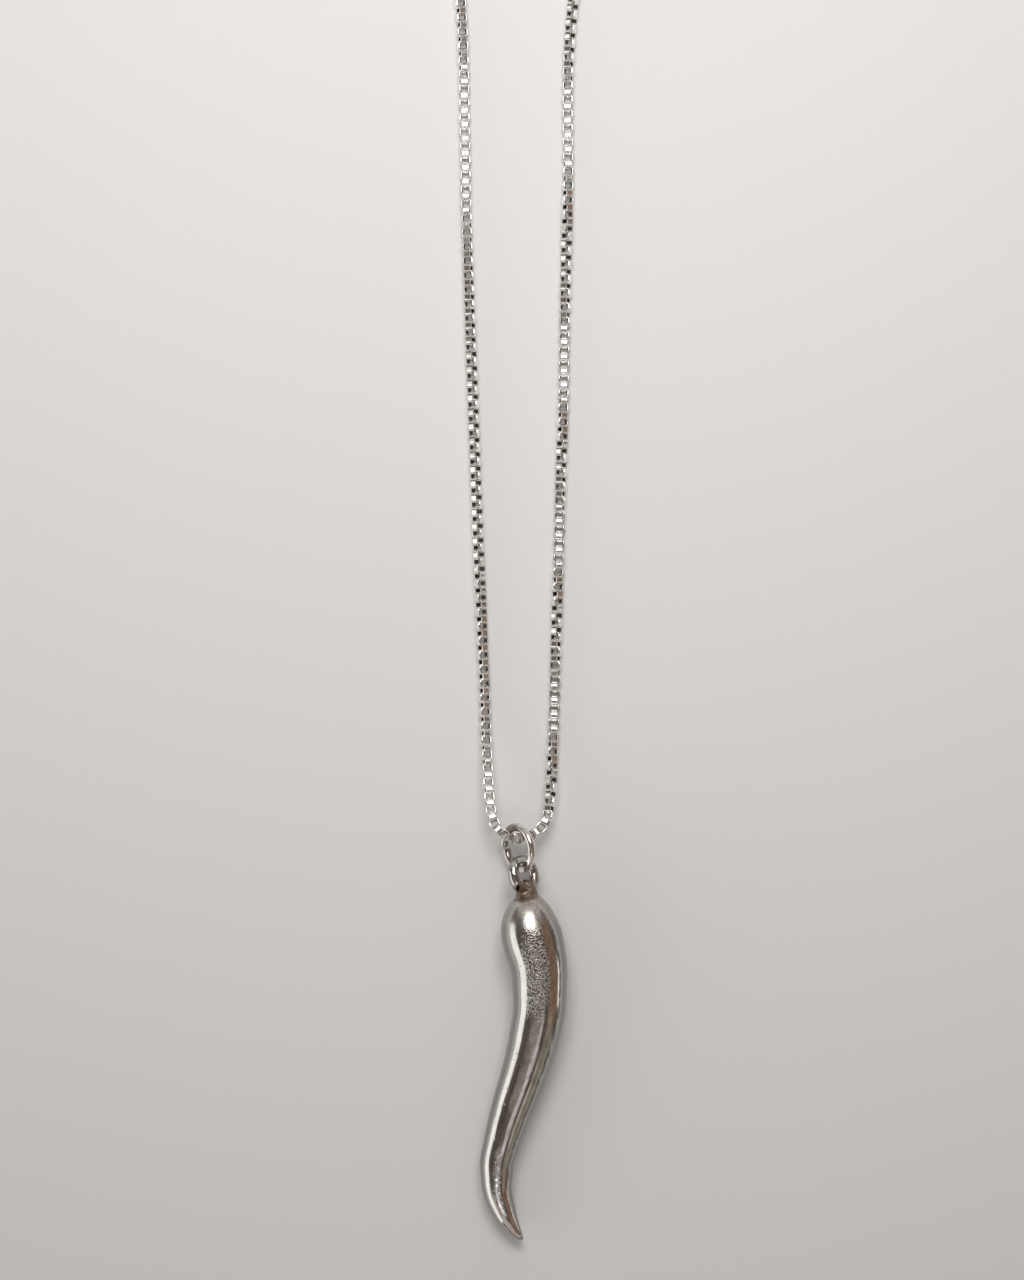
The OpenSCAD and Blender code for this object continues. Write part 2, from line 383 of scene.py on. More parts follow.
def round_bar(name, points, girths, material, sides, closed=False):
    """A closed bar of round stock along points in millimetres, with its girth at each."""
    line = line_object(name + "_line", points, closed, girth=[g * MM for g in girths])
    return shaped(line, ROUND_BAR, name, Sides=sides, Material=material)


def outward(piece):
    """Turns the faces of a closed mesh outwards."""
    shell = bmesh.new()
    shell.from_mesh(piece.data)
    bmesh.ops.recalc_face_normals(shell, faces=shell.faces)
    if shell.calc_volume(signed=True) < 0:
        bmesh.ops.reverse_faces(shell, faces=shell.faces)
    shell.to_mesh(piece.data)
    shell.free()


def combined(name, first, others, operation):
    """Joins closed meshes to the first one, or cuts them out of it."""
    outward(first)
    for other in others:
        outward(other)
        step = first.modifiers.new("Step", "BOOLEAN")
        step.operation = operation
        step.solver = "MANIFOLD"
        step.object = other
    made = plain_mesh(first, name)
    for other in others:
        bpy.data.objects.remove(other)
    return made


def join(piece, others):
    """Adds the meshes of other objects to a piece's own."""
    chosen = [piece, *others]
    with bpy.context.temp_override(active_object=piece, selected_editable_objects=chosen):
        bpy.ops.object.join()


def melted(piece, name, centre, reach, passes):
    """Rounds off the seams within a reach of a point, as solder does."""
    group = piece.vertex_groups.new(name="solder")
    for vertex in piece.data.vertices:
        share = (vertex.co / MM - Vector(centre)).length / reach
        if share < 1:
            group.add([vertex.index], min(1, 2 * (1 - share)), "REPLACE")
    smooth = piece.modifiers.new("Melt", "SMOOTH")
    smooth.vertex_group = "solder"
    smooth.iterations = passes
    made = plain_mesh(piece, name)
    made.vertex_groups.clear()
    return made


def turned(tilt, roll):
    """The turn of a ring that stands at its own tilt and lean."""
    lean = Matrix.Rotation(math.radians(roll), 3, "Z")
    return lean @ Matrix.Rotation(math.radians(tilt), 3, "Y")


# Materials

# Colours of the cast silver: its dull and bright places, each stain and mark, and painted shade,
# reflections and highlights
SILVER_DIM = (0.64, 0.63, 0.61, 1)
SILVER_BRIGHT = (0.72, 0.71, 0.695, 1)
OLIVE = (0.60, 0.595, 0.52, 1)
UMBER_REFLECTION = (0.57, 0.48, 0.445, 1)
MOTTLE = (0.40, 0.34, 0.315, 1)
DOME_TAN = (0.50, 0.44, 0.38, 1)
# Brown of the solder's patina, also used as painted shade in the eye's opening
SOLDER_BROWN_AND_SHADE = (0.16, 0.105, 0.07, 1)
SOLDER_GLINT_TAN = (0.56, 0.44, 0.33, 1)
FLANK_SHADE = (0.28, 0.28, 0.27, 1)
PAINTED_DARK_LINE = (0.10, 0.09, 0.08, 1)
SKIN_GREY_AND_SHADE = (0.27, 0.245, 0.22, 1)
RUBBED_AND_HIGHLIGHT = (0.93, 0.92, 0.91, 1)
PIT_DARK = (0.16, 0.135, 0.115, 1)
NOTCH_SHADE = (0.03, 0.024, 0.019, 1)

# Colours of the jump ring's wire, of the chain's links and of the clasp, and the shade painted on
# the ring and inside the links
WIRE_BRIGHT = (0.84, 0.82, 0.79, 1)
WIRE_WORN = (0.50, 0.42, 0.35, 1)
WIRE_INSIDE_SHADE = (0.20, 0.16, 0.13, 1)
WIRE_TOP_SHADE = (0.15, 0.11, 0.08, 1)
LINK_DIM = (0.88, 0.865, 0.84, 1)
LINK_BRIGHT = (0.97, 0.96, 0.945, 1)
LINK_WORN = (0.50, 0.42, 0.36, 1)
LINK_HOLLOW_SHADE = (0.030, 0.020, 0.014, 1)
CLASP_DIM = (0.70, 0.68, 0.65, 1)
CLASP_BRIGHT = (0.82, 0.80, 0.77, 1)

# Where the solder's brown and the dome's satin lie, and where shade is painted on the ring's top
SOLDER_PLACE = (EYE_MID.x + 0.1, HORN_TOP + 0.15, HEAD_R + 0.5)
DOME_PLACE = (HORN_X, HORN_TOP - 1.2, HEAD_D - 1)
RING_TOP_SHADE_PLACE = RING_MID + Vector((-1.3, 2.2, 0.0))


def new_material(name, **settings):
    """A material with its shader, whose constant sockets are set by name."""
    material = bpy.data.materials.new(name)
    material.use_nodes = True
    shader = material.node_tree.nodes["Principled BSDF"]
    for label, value in settings.items():
        shader.inputs[label.replace("_", " ")].default_value = value
    return material, shader


def feed(tree, shader, **values):
    for label, value in values.items():
        tree.nodes.links.new(value.socket, shader.inputs[label.replace("_", " ")])


def layered(tree, colour, *layers):
    """Lays colours over one another, each with the share that covers what is under it."""
    for share, over in layers:
        colour = tree.mix(share, colour, over)
    return colour


def relief(tree, height):
    """The normal of a surface with that height, given in millimetres."""
    inputs = {"Strength": 1.0, "Distance": MM, "Height": height}
    return tree.node("ShaderNodeBump", {}, inputs)["Normal"]


# How fast a scratch's pattern changes down into the metal, as a share of how it does
# across: slowly, so that it draws no level lines on a slope. How soft its edge is, and
# how the pattern is tipped out of line with the picture
SCRATCH_DEEP = 0.2
SCRATCH_EDGE = 0.03
SCRATCH_TIP = (0.2, 0.1)


def scratches(tree, position, turn, across, along, share):
    """Fine straight scratches: 1 on a scratch and 0 beside it. Sizes are in millimetres."""
    inputs = {
        "Vector": position,
        "Rotation": (*SCRATCH_TIP, math.radians(turn)),
        "Scale": (1 / (across * MM), 1 / (along * MM), SCRATCH_DEEP / (across * MM)),
    }
    stretched = tree.node("ShaderNodeMapping", {}, inputs)["Vector"]
    inputs = {"Vector": stretched, "Scale": 1.0, "Detail": 1.0}
    noise = tree.node("ShaderNodeTexNoise", {}, inputs)["Fac"]
    return tree.smooth(noise, 1 - share, 1 + SCRATCH_EDGE - share)


def curled(tree, position, size, width):
    """Fine curled ridges of a cast skin: 1 on a ridge and 0 beside it."""
    noise = tree.noise(position, size, detail=1.0)
    return 1 - tree.smooth(abs(noise - 0.5), 0.0, width)


def rough_places(tree, place, aside):
    """Where the casting's skin is left: a field in the middle below the dome, and a narrow
    band at the front of the tip."""
    left_side = tree.smooth(aside, start=-0.50, end=-0.36)
    right_side = tree.smooth(aside, start=0.34, end=0.50)
    band = 1 - tree.smooth(abs(aside - 0.02), start=0.14, end=0.50)
    skin = tree.near(place, *SKIN_ZONE) * left_side * (1 - right_side)
    return skin, tree.near(place, *FRONT_ZONE) * band


class CastMarks:
    """The share, 0 to 1, of each finish and mark at a point of the horn, and of each painted
    shade, reflection and highlight. Sizes of the patterns are in millimetres."""

    def __init__(self, tree):
        place = tree.node("ShaderNodeTexCoord")["Object"]
        self.pit, bend, aside, level = (
            tree.node("ShaderNodeAttribute", {"attribute_name": name})["Fac"]
            for name in ("pit", "bend", "aside", "level")
        )
        middle_line = tree.node("ShaderNodeCombineXYZ", {}, {"X": bend})["Vector"]
        drawn = tree.vector("SUBTRACT", place, middle_line)
        along = tree.vector("MULTIPLY", drawn, (1.0, 0.09, 1.0))
        beside = tree.vector("ADD", along, (0.02, 0.0, 0.0))
        short = tree.vector("MULTIPLY", drawn, (1.0, 0.42, 1.0))
        self.wear = tree.noise(place, size=2.6, detail=4.0, rough=0.6)
        self.cloud = tree.noise(short, size=0.62, detail=4.0, rough=0.65)
        self.groove = tree.noise(along, size=0.34, detail=2.0, rough=0.55)
        self.grain = tree.noise(place, size=0.24, detail=2.0, rough=0.6)
        self.skin, self.front = rough_places(tree, place, aside)
        self.dome = tree.near(place, DOME_PLACE, (5.4, 4.6, 6.0), core=0.5)
        self.solder = tree.near(place, SOLDER_PLACE, (2.7, 2.2, 3.2), core=0.35)
        # Painted shade: the eye's opening is darkened brown, on top of the solder's own brown
        # patina
        eye_hole_shade = tree.near(place, EYE_MID, (1.95, 1.95, 1.95), core=0.6)
        spread = self.solder * 1.2 + eye_hole_shade * 0.8 + (self.wear - 0.5) * 0.9
        self.brown = tree.smooth(spread, start=0.25, end=0.95) * 0.85
        # Painted shade: the notch is painted near black
        notch = tree.near(place, EYE_MID + EYE_NOTCH, (0.28, 0.66, 0.9), core=0.5)
        self.notch = tree.smooth(notch, start=0.3, end=0.7)
        # Painted shade: where the horn's flanks face down they are painted darker
        self.flank = 1 - tree.smooth(level, start=0.50, end=0.72)
        past_right = tree.smooth(aside, start=0.52, end=0.68)
        self.right = tree.smooth(aside, start=-0.42, end=-0.30) * (1 - past_right)
        # Painted reflection: a thin dark line along the horn's right flank
        line = 1 - tree.smooth(abs(level - 0.68), start=0.01, end=0.06)
        self.edge = line * tree.smooth(aside, start=0.2, end=0.4) * (1 - self.dome)
        self.ridge = curled(tree, place, size=0.34, width=0.085)
        self.speck = tree.pits(place, size=0.40, spread=0.32, share=0.13)
        self.bead = tree.smooth(tree.noise(place, size=0.38, detail=1.0), start=0.48, end=0.62)
        self.glint = tree.smooth(tree.noise(place, size=0.27, detail=1.0), start=0.46, end=0.62)
        self.fine = (scratches(tree, drawn, turn=4, across=0.05, along=4.5, share=0.40)
                     + scratches(tree, drawn, turn=-31, across=0.06, along=1.6, share=0.28))
        # Painted reflection: brown streaks over the horn's middle and right, the colour a brown
        # wall gives there
        streak = tree.noise(along, size=1.1, detail=3.0, rough=0.6)
        self.umber_reflection = tree.smooth(streak, start=0.44, end=0.66) * self.right
        streak = tree.noise(beside, size=0.9, detail=2.0, rough=0.6)
        self.olive = tree.smooth(streak, start=0.5, end=0.7)


def cast_colour(tree, marks):
    silver = tree.mix(tree.smooth(marks.wear, start=0.35, end=0.7), SILVER_DIM, SILVER_BRIGHT)
    mottle = tree.smooth(marks.cloud, start=0.46, end=0.62)
    satin = tree.smooth(marks.grain, start=0.42, end=0.62)
    broken = tree.smooth(marks.cloud, start=0.40, end=0.52)
    pitted = tree.smooth(marks.pit * 0.5 + marks.speck, start=0.1, end=0.9)
    return layered(
        tree, silver,
        (marks.olive * 0.4, OLIVE),
        # Painted brown reflection
        (marks.umber_reflection * 0.6, UMBER_REFLECTION),
        (mottle * marks.right * 0.5, MOTTLE),
        (marks.dome * satin * 0.65, DOME_TAN),
        # The solder's brown patina, with painted shade in the eye's opening
        (marks.brown, SOLDER_BROWN_AND_SHADE),
        # Painted highlights: lighter tan glints on the solder's lumps
        (marks.solder * marks.bead * 0.4, SOLDER_GLINT_TAN),
        # Painted shade on the flanks that face down
        (marks.flank * (0.9 - marks.dome * 0.4) * (1 - marks.solder), FLANK_SHADE),
        # Painted dark reflection line on the right flank
        (marks.edge * broken * 0.8, PAINTED_DARK_LINE),
        # Partly tarnish, partly painted shade: the skin below the dome and the tip's front are
        # darkened
        (marks.skin * 0.75 + marks.front * 0.55, SKIN_GREY_AND_SHADE),
        # Partly rubbed metal, partly painted highlights: the skin's ridges and the tip's specks are
        # lightened
        (marks.ridge * marks.skin * 0.75 + marks.front * marks.glint * 0.7, RUBBED_AND_HIGHLIGHT),
        (pitted * 0.65, PIT_DARK),
        # Painted shade in the notch
        (marks.notch, NOTCH_SHADE),
    )


def cast_roughness(marks):
    worn = marks.wear * 0.05 + marks.fine * 0.02 + marks.pit * 0.1 + marks.speck * 0.1
    places = marks.dome * 0.15 + marks.skin * 0.13 + marks.front * 0.05
    return 0.085 + worn + places + marks.brown * 0.10 + marks.flank * 0.10


def cast_height(marks):
    """Relief of the horn's surface, in millimetres."""
    coarse = 0.0012 + 0.0085 * marks.dome + 0.0060 * marks.skin + 0.0060 * marks.front
    raised = marks.ridge * marks.skin * 0.021 + marks.glint * marks.front * 0.016
    solder = marks.bead * marks.solder * 0.034
    sunk = marks.speck * 0.015 + marks.fine * 0.0007
    return marks.grain * coarse + marks.groove * 0.0055 + raised + solder - sunk


def cast_silver():
    """The horn: polished and worn cast silver, with ridges and pits where the casting's
    skin is left below the dome and at the tip, satin on the dome, brown at the solder.
    Shade is painted in the eye's opening, in the notch and on the flanks that face down,
    a dark line and a brown reflection on its right, and, in part, highlights on its
    ridges, specks and solder."""
    material, shader = new_material("cast_silver", Metallic=1.0)
    tree = Shade(material)
    marks = CastMarks(tree)
    feed(tree, shader, Base_Color=cast_colour(tree, marks), Roughness=cast_roughness(marks),
         Normal=relief(tree, cast_height(marks)))
    return material


def wire_silver():
    """The jump ring: drawn silver wire with handling marks, with painted shade on its inner
    side and painted brown shade on its top."""
    material, shader = new_material("wire_silver", Metallic=1.0)
    tree = Shade(material)
    place = tree.node("ShaderNodeTexCoord")["Object"]
    wear = tree.noise(place, size=0.9, detail=4.0, rough=0.6)
    fine = scratches(tree, place, turn=30, across=0.05, along=0.9, share=0.38)
    out = tree.length(tree.vector("SUBTRACT", place, RING_MID * MM))
    # Painted shade: the inner side of the ring's wire is darkened
    inside = 1 - tree.smooth(out, start=(RING_R - 0.35) * MM, end=(RING_R + 0.15) * MM)
    # Painted shade: the ring's top-left is darkened brown
    ring_top_shade = tree.near(place, RING_TOP_SHADE_PLACE, (1.9, 1.5, 3.0), core=0.4)
    colour = layered(
        tree, WIRE_BRIGHT,
        (tree.smooth(wear, start=0.52, end=0.78), WIRE_WORN),
        # Painted shade on the ring's inner side
        (inside * 0.7, WIRE_INSIDE_SHADE),
        # Painted shade on the ring's top
        (ring_top_shade * 0.8, WIRE_TOP_SHADE),
    )
    rough = 0.12 + wear * 0.12 + fine * 0.03
    height = wear * 0.014 - fine * 0.0008
    feed(tree, shader, Base_Color=colour, Roughness=rough, Normal=relief(tree, height))
    return material


def link_silver():
    """The chain: bright strip outside, rounded towards its bends, and painted near black inside:
    painted shade, with some tarnish.
    """
    material, shader = new_material("link_silver", Metallic=1.0)
    tree = Shade(material)
    place = tree.node("ShaderNodeTexCoord")["Object"]
    inner, tone, bow = (
        tree.node("ShaderNodeAttribute", {"attribute_name": name})["Fac"]
        for name in ("inner", "tone", "bow")
    )
    wear = tree.noise(place, size=0.35, detail=3.0, rough=0.6)
    colour = layered(
        tree, LINK_DIM,
        (tone, LINK_BRIGHT),
        (tree.smooth(wear, start=0.54, end=0.8) * 0.5, LINK_WORN),
        # Painted shade, with some tarnish: the links' inner faces are painted near black
        (tree.smooth(inner, start=0.5, end=0.9) * 0.96, LINK_HOLLOW_SHADE),
    )
    rough = 0.15 + wear * 0.12 + inner * 0.2
    rounding = bow * bow
    height = tree.noise(place, size=0.12) * 0.003 - rounding * rounding * LINK_BOW
    feed(tree, shader, Base_Color=colour, Roughness=rough, Normal=relief(tree, height))
    return material


def clasp_silver():
    """The clasp and the end rings: plain polished silver."""
    material, shader = new_material("clasp_silver", Metallic=1.0)
    tree = Shade(material)
    place = tree.node("ShaderNodeTexCoord")["Object"]
    wear = tree.noise(place, size=0.8, detail=4.0, rough=0.6)
    fine = scratches(tree, place, turn=60, across=0.05, along=1.0, share=0.36)
    colour = tree.mix(wear, CLASP_DIM, CLASP_BRIGHT)
    feed(tree, shader, Base_Color=colour, Roughness=0.12 + wear * 0.12 + fine * 0.08)
    return material


CAST = cast_silver()
WIRE = wire_silver()
LINK = link_silver()
CLASP = clasp_silver()


# The horn

def run(at):
    """Length along the horn from its widest part to a place on it."""
    return at * (DOME_LEN if at < 0 else BODY_LEN)


def row_slope(i, column):
    """Slope of one column of the horn's rows, level where the column turns back."""
    low, mid, high = (HORN_ROWS[max(0, min(j, len(HORN_ROWS) - 1))] for j in (i - 1, i, i + 1))
    before = mid[column] - low[column]
    after = high[column] - mid[column]
    return 0 if before * after < 0 else (before + after) / (run(high[0]) - run(low[0]))


def row_value(at, column):
    """Value of one column of the horn's rows at a place along it."""
    i = max(sum(row[0] <= at for row in HORN_ROWS[:-1]) - 1, 0)
    low, high = HORN_ROWS[i], HORN_ROWS[i + 1]
    span = run(high[0]) - run(low[0])
    f = (at - low[0]) / (high[0] - low[0])
    return (low[column] * (1 + 2 * f) * (1 - f) ** 2 + high[column] * (3 - 2 * f) * f * f
            + row_slope(i, column) * span * f * (1 - f) ** 2
            - row_slope(i + 1, column) * span * f * f * (1 - f))


def horn_girth(at):
    return math.sqrt(1 - at * at) if at < 0 else row_value(at, 2)


def fall_shape(at):
    return math.hypot(max(at, 0), FALL_START) - FALL_START


HORN_FALL = min((1 - horn_girth(i / 100)) / fall_shape(i / 100) for i in range(2, 101))


def horn_middle(at):
    return Vector((
        HORN_X + row_value(at, 1) * HEAD_D,
        HORN_TOP - DOME_LEN - run(at),
        HEAD_R * (1 - HORN_FALL * fall_shape(at)),
    ))


# Rings of the horn's skin on its dome and along its body, how many of the last ones make
# way for the tip's closer ones, and the sides of each ring
DOME_RINGS = 48
BODY_RINGS = 360
TIP_SPAN = 5
TIP_RINGS = 10
HORN_SIDES = 200


def horn_body():
    """The horn's skin, in closer rings where the dome closes and where the tip ends."""
    dome = [-math.cos(math.pi / 2 * (i + 0.3) / DOME_RINGS) for i in range(DOME_RINGS)]
    body = [i / BODY_RINGS for i in range(BODY_RINGS - TIP_SPAN)]
    tip = [1 - TIP_SPAN / BODY_RINGS * (1 - i / TIP_RINGS) ** 1.5 for i in range(TIP_RINGS + 1)]
    places = dome + body + tip
    girths = [HEAD_R * horn_girth(at) for at in places]
    return round_bar("horn_body", [horn_middle(at) for at in places], girths, CAST, HORN_SIDES)


# The solder between the head and the eye. Its root: depth in the dome and girth
NECK_ROOT_DEEP = 1.0
NECK_ROOT_GIRTH = 1.4
# Where it starts and how far it rises, from the horn's top
NECK_START = -0.58
NECK_RISE = 2.12
# Its girth, how much wider it leaves the dome, at what height, and how fast that falls off
NECK_GIRTH = 1.34
NECK_FLARE = 0.26
NECK_FLARE_AT = -0.55
NECK_FLARE_FALL = 4.0
# Least share of its girth, squared, which keeps its rounded top from closing to a point
NECK_TOP_LEAST = 0.02
# How far left of the head's middle it stands, drifts as it rises, and sinks to its back
NECK_LEFT = 0.2
NECK_DRIFT = 0.3
NECK_SINK = 0.75
# It flattens towards its top: from this height, over this rise, by this share
NECK_FLAT_FROM = -0.6
NECK_FLAT_RISE = 1.8
NECK_FLAT = 0.42
NECK_STEPS = 48
NECK_SIDES = 72


def solder_neck():
    """Solder between the head and the eye: it leaves the dome in a hollow curve, flattens
    and fills the lower part of the eye."""
    points = [(HORN_X - NECK_LEFT, HORN_TOP - NECK_ROOT_DEEP, HEAD_R)]
    girths = [NECK_ROOT_GIRTH]
    for i in range(NECK_STEPS + 1):
        f = i / NECK_STEPS
        up = NECK_START + NECK_RISE * f
        aside = HORN_X - NECK_LEFT - NECK_DRIFT * f
        points.append((aside, HORN_TOP + up, HEAD_R - NECK_SINK * f * f))
        flare = NECK_FLARE * math.exp(-NECK_FLARE_FALL * (up - NECK_FLARE_AT))
        girths.append((NECK_GIRTH + flare) * math.sqrt(max(NECK_TOP_LEAST, 1 - f ** 4)))
    neck = round_bar("solder_neck", points, girths, CAST, NECK_SIDES)
    for vertex in neck.data.vertices:
        up = vertex.co.y / MM - HORN_TOP
        f = min(max((up - NECK_FLAT_FROM) / NECK_FLAT_RISE, 0), 1)
        axis = HEAD_R - NECK_SINK * f * f
        vertex.co.z = (axis + (vertex.co.z / MM - axis) * (1 - NECK_FLAT * f)) * MM
    return neck


def bulge(degrees, width):
    """1 where the angle from a bulge's middle is nought, falling off smoothly both ways."""
    return math.exp(-(((degrees + 180) % 360 - 180) / width) ** 2)


# Solder on the eye's wire, to its left and to its lower right: degrees round the eye, how
# wide, and how far it grows inwards and thicker
EYE_BULGES = [(202, 56, 0.36, 0.26), (322, 44, 0.10, 0.11)]
EYE_STEPS = 180
EYE_SIDES = 44


def horn_eye():
    """The eye's wire, thickened with solder on its left and a little at its lower right."""
    turn = turned(EYE_TILT, EYE_ROLL)
    points = []
    girths = []
    for i in range(EYE_STEPS):
        angle = 2 * math.pi * i / EYE_STEPS
        radius = EYE_R
        girth = EYE_WIRE / 2
        for place, width, inwards, thicker in EYE_BULGES:
            share = bulge(math.degrees(angle) - place, width)
            radius -= inwards * share
            girth += thicker * share
        spoke = Vector((radius * math.cos(angle), radius * math.sin(angle), 0))
        points.append(EYE_MID + turn @ spoke)
        girths.append(girth)
    return round_bar("horn_eye", points, girths, CAST, EYE_SIDES, closed=True)


# The notch's lens: half its width, height and depth, how it leans, and how far up it sits
NOTCH_SIZE = (0.25, 0.60, 0.40)
NOTCH_LEAN = -20
NOTCH_UP = 0.06


def notched(piece):
    """Cuts the lens-shaped notch out of the eye."""
    cutter = bmesh.new()
    bmesh.ops.create_uvsphere(cutter, u_segments=32, v_segments=24, radius=MM)
    lean = Matrix.Rotation(math.radians(NOTCH_LEAN), 4, "Z")
    size = Matrix.Diagonal((*NOTCH_SIZE, 1))
    place = Matrix.Translation((EYE_MID + EYE_NOTCH + Vector((0, 0, NOTCH_UP))) * MM)
    bmesh.ops.transform(cutter, matrix=place @ lean @ size, verts=cutter.verts)
    mesh = bpy.data.meshes.new("notch_cutter")
    cutter.to_mesh(mesh)
    cutter.free()
    hollow = linked("notch_cutter", mesh)
    return combined("notched_horn", piece, [hollow], "DIFFERENCE")


# Least girth that the share across the horn is taken of, at its tip
LEAST_GIRTH = 0.2


def places_stored(piece):
    """Keeps at each point how far aside the horn's middle line is there, where the point
    lies between the horn's left side, -1, and its right, 1, and how far it faces up."""
    steps = 400
    places = [i / steps for i in range(steps + 1)]
    middles = [horn_middle(at) for at in places]
    mesh = piece.data
    spots = numpy.empty(len(mesh.vertices) * 3)
    mesh.vertices.foreach_get("co", spots)
    facing = numpy.empty(len(mesh.vertices) * 3)
    mesh.vertex_normals.foreach_get("vector", facing)
    down = [-m.y * MM for m in middles]
    bend = numpy.interp(-spots[1::3], down, [m.x * MM for m in middles])
    girths = [max(HEAD_R * horn_girth(at), LEAST_GIRTH) * MM for at in places]
    girth = numpy.interp(-spots[1::3], down, girths)
    columns = {"bend": bend, "aside": (spots[::3] - bend) / girth, "level": facing[2::3]}
    for name, numbers in columns.items():
        mesh.attributes.new(name, "FLOAT", "POINT").data.foreach_set("value", numbers)
    return piece


def cast_surface_tree():
    """Hand-polished waves and casting pits in a smooth skin."""
    tree = Shape("Cast surface", Waves=("Float", 0.022 * MM), Depth=("Float", 0.03 * MM),
                 Material=("Material", None))
    place = tree.node("GeometryNodeInputPosition")["Position"]
    normal = tree.node("GeometryNodeInputNormal")["Normal"]
    aside = tree.node("ShaderNodeCombineXYZ", {}, {"X": tree.stored("bend")})["Vector"]
    drawn = tree.vector("MULTIPLY", tree.vector("SUBTRACT", place, aside), (1.0, 0.3, 1.0))
    long_waves = tree.noise(drawn, size=2.6, detail=1.0) - 0.5
    short_waves = tree.noise(drawn, size=0.9, detail=1.0) - 0.5
    waves = long_waves + short_waves * 0.3
    skin, front = rough_places(tree, place, tree.stored("aside"))
    share = 0.04 + skin * 0.45 + front * 0.6
    large = tree.pits(place, size=0.55, spread=0.30, share=share)
    small = tree.pits(place, size=0.33, spread=0.34, share=share)
    pit = large + small * 0.7
    depth = waves * tree.given["Waves"] - pit * tree.given["Depth"]
    inputs = {"Vector": normal, "Scale": depth}
    offset = tree.node("ShaderNodeVectorMath", {"operation": "SCALE"}, inputs)["Vector"]
    inputs = {"Geometry": tree.given["Geometry"], "Offset": offset}
    moved = tree.node("GeometryNodeSetPosition", {}, inputs)["Geometry"]
    kept = tree.store(moved, "pit", pit)
    smooth = tree.node("GeometryNodeSetShadeSmooth", {}, {"Geometry": kept})["Geometry"]
    return tree.finish(smooth)


def make_horn():
    skin = combined("horn_skin", horn_body(), [solder_neck(), horn_eye()], "UNION")
    base = (HORN_X - 0.3, HORN_TOP + 0.5, HEAD_R - 0.2)
    melt = melted(skin, "horn_melted", base, reach=2.4, passes=40)
    return shaped(places_stored(notched(melt)), cast_surface_tree(), "cast_horn", Material=CAST)


# The jump ring

# How far the ring's ends are sprung sideways and outwards, how much is worn off their
# edges, and off the ring just behind them
RING_SPRUNG = 0.13
RING_OPENED = 0.06
RING_END_WORN = 0.10
RING_EDGE_WORN = 0.01
RING_STEPS = 160
RING_SIDES = 36


def make_jump_ring():
    """The open ring: its two ends stand a little out of line at the cut."""
    gap = RING_CUT / RING_R
    start = math.radians(RING_CUT_AT) + gap / 2
    sweep = 2 * math.pi - gap
    turn = turned(RING_TILT, RING_ROLL)
    points = []
    girths = []
    for i in range(RING_STEPS + 1):
        f = i / RING_STEPS
        angle = start + sweep * f
        side = RING_SPRUNG * (f ** 6 - (1 - f) ** 6)
        radius = RING_R + RING_OPENED * f ** 8
        spoke = Vector((radius * math.cos(angle), radius * math.sin(angle), side))
        points.append(RING_MID + turn @ spoke)
        girths.append(RING_WIRE / 2)
    for end, behind in ((0, 1), (-1, -2)):
        girths[end] -= RING_END_WORN
        girths[behind] -= RING_EDGE_WORN
    return round_bar("jump_ring_wire", points, girths, WIRE, RING_SIDES)


# The chain

def risen(x, y, rise):
    low = CHAIN_W / 2
    return Vector((x, ROUTE_Y + y, low + rise * (RING_MID.z - low)))


def slope_at(a, b, c):
    before = (b - a).length
    after = (c - b).length
    return ((b - a) / before * after + (c - b) / after * before) / (before + after)


def curve_point(a, b, c, d, f):
    """Point at share f of the way from b to c, on a smooth curve through a, b, c and d."""
    span = (c - b).length
    start = slope_at(a, b, c) * span
    finish = slope_at(b, c, d) * span
    return (b * (1 + 2 * f) * (1 - f) ** 2 + c * (3 - 2 * f) * f * f
            + start * f * (1 - f) ** 2 - finish * f * f * (1 - f))


def link_stand(twist):
    """Height of the chain's middle line when links turned that far touch the surface."""
    c = abs(math.cos(math.radians(twist)))
    s = abs(math.sin(math.radians(twist)))
    side = CHAIN_W / 2
    edge = LINK_STRIP / 2
    return max(side * c + edge * s, edge * c + side * s)


def chain_line(steps=12):
    """Points of the chain's middle line in order, and the links' turn at each."""
    left, right = END_RINGS["left"], END_RINGS["right"]
    reach = Vector((CHAIN_END, 0, 0))
    route = [left, left - reach] + [risen(*row) for row in CHAIN_ROUTE] + [right + reach, right]
    points = []
    for i in range(1, len(route) - 2):
        points += [curve_point(*route[i - 1:i + 3], k / steps) for k in range(steps)]
    points.append(route[-2])
    lengths = [0]
    for a, b in zip(points, points[1:]):
        lengths.append(lengths[-1] + (b - a).length)
    bend = lengths[min(range(len(points)), key=lambda i: points[i].y)]
    places, turns = zip(*CHAIN_TWISTS)
    twists = [float(numpy.interp(length - bend, places, turns)) for length in lengths]
    for point, twist in zip(points, twists):
        point.z = max(point.z, link_stand(twist))
    return points, twists


